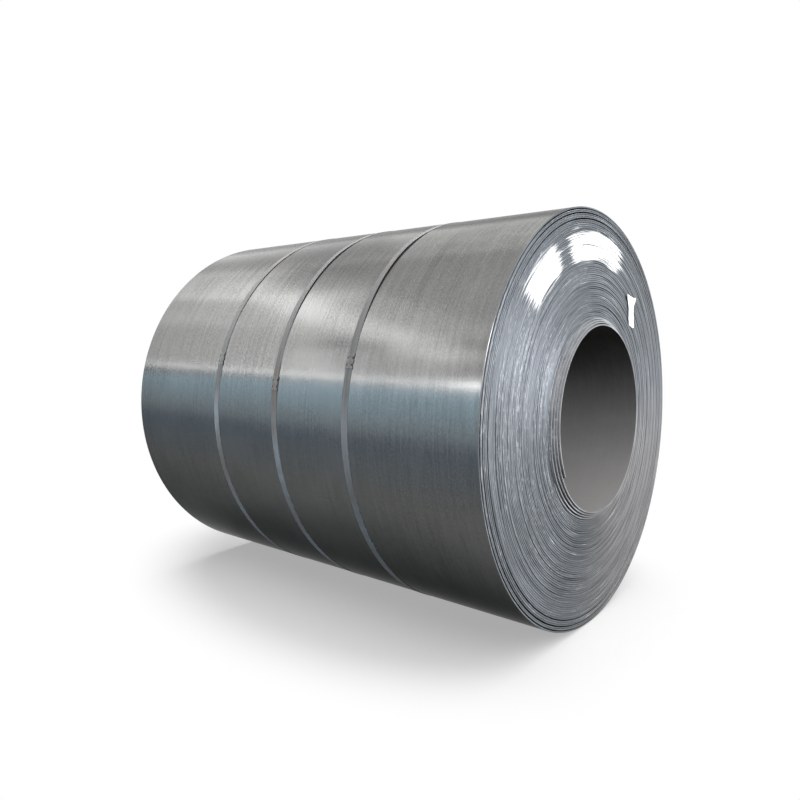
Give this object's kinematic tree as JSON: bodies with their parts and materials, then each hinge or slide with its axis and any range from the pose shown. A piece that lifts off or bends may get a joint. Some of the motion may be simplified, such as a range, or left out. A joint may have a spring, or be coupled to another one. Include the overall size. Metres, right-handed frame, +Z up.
{
  "type": "steel coil",
  "caption": "Heavy coil of hot-rolled steel strip lying on its side, with an open eye, telescoped ends, steel straps with crimped seals and a blank paper tag.",
  "frame": {"origin": "centre of the bounding box at the floor, under the middle of the coil", "axes": "+X along the coil's axis towards its near end, where the inner laps stand out, +Z up"},
  "size_m": [2.071, 1.724, 1.724],
  "materials": {
    "rolled_steel": "smooth hot-rolled scale, satin",
    "strap_steel": "blued strapping steel",
    "seal_steel": "plain pressed steel",
    "paper": "blank uncoated paper"
  },
  "bodies": {
    "root": {"coil": "rolled_steel", "strap_far": "strap_steel", "strap_middle": "strap_steel", "strap_near": "strap_steel", "seal_far": "seal_steel", "seal_middle": "seal_steel", "seal_near": "seal_steel", "paper_tag": "paper"}
  },
  "joints": []
}
